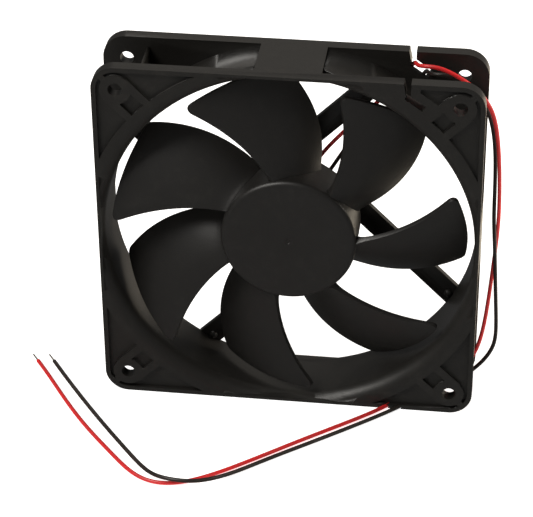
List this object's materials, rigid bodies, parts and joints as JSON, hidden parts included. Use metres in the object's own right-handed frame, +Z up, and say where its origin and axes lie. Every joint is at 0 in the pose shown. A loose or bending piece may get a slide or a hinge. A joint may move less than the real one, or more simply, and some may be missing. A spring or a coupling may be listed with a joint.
{
  "type": "case fan",
  "caption": "Square axial case fan with a curved-blade impeller on a brushless motor, held by slanting struts in a flanged frame, with two loose bare-ended leads.",
  "frame": {"origin": "middle of the frame's underside, on the surface that the fan stands on", "axes": "+Z up; the impeller's axis runs along Y, the intake face looks towards -Y and the motor base and struts are at +Y"},
  "size_m": [0.1552, 0.075, 0.12],
  "materials": {
    "frame_plastic": "satin black moulded thermoplastic with a fine grain",
    "impeller_plastic": "satin black moulded thermoplastic",
    "brass": "turned brass",
    "label_foil": "plain foil disc with no print",
    "core_steel": "stamped steel",
    "bearing_steel": "ground bearing steel",
    "nylon": "natural nylon",
    "copper_wire": "enamelled copper winding",
    "board_laminate": "green glass laminate",
    "chip_plastic": "black moulded chip package",
    "capacitor_body": "ceramic chip body",
    "ferrite": "bonded ferrite",
    "red_sleeve": "soft red lead insulation",
    "black_sleeve": "soft black lead insulation",
    "tinned_copper": "tinned copper strands"
  },
  "bodies": {
    "housing": {"frame": "frame_plastic", "bearing_tube": "brass", "rear_label": "label_foil", "stator_core": "core_steel", "front_insulator": "nylon", "rear_insulator": "nylon", "circuit_board": "board_laminate", "hall_sensor": "chip_plastic", "driver_chip": "chip_plastic", "capacitor": "capacitor_body", "lead_red": "red_sleeve", "lead_black": "black_sleeve", "bare_end_red": "tinned_copper", "bare_end_black": "tinned_copper", "coil_1": "copper_wire", "coil_2": "copper_wire", "coil_3": "copper_wire", "coil_4": "copper_wire", "front_outer_race": "bearing_steel", "rear_outer_race": "bearing_steel"},
    "rotor": {"impeller": "impeller_plastic", "rotor_cup": "core_steel", "magnet_ring": "ferrite", "shaft": "bearing_steel", "retaining_ring": "bearing_steel", "preload_washer": "bearing_steel", "front_inner_race": "bearing_steel", "rear_inner_race": "bearing_steel"},
    "front_cage": {"front_ball_cage": "brass", "front_ball_1": "bearing_steel", "front_ball_2": "bearing_steel", "front_ball_3": "bearing_steel", "front_ball_4": "bearing_steel", "front_ball_5": "bearing_steel", "front_ball_6": "bearing_steel"},
    "rear_cage": {"rear_ball_cage": "brass", "rear_ball_1": "bearing_steel", "rear_ball_2": "bearing_steel", "rear_ball_3": "bearing_steel", "rear_ball_4": "bearing_steel", "rear_ball_5": "bearing_steel", "rear_ball_6": "bearing_steel"}
  },
  "joints": [
    {"name": "rotor_spin", "type": "hinge", "parent": "housing", "child": "rotor", "pos_m": [0, 0, 0.06], "axis": [0, -1, 0], "continuous": true},
    {"name": "front_cage_spin", "type": "hinge", "parent": "housing", "child": "front_cage", "pos_m": [0, 0, 0.06], "axis": [0, -1, 0], "continuous": true},
    {"name": "rear_cage_spin", "type": "hinge", "parent": "housing", "child": "rear_cage", "pos_m": [0, 0, 0.06], "axis": [0, -1, 0], "continuous": true}
  ],
  "couplings": [
    {"joint": "front_cage_spin", "follows": "rotor_spin", "ratio": 0.36},
    {"joint": "rear_cage_spin", "follows": "rotor_spin", "ratio": 0.36}
  ]
}
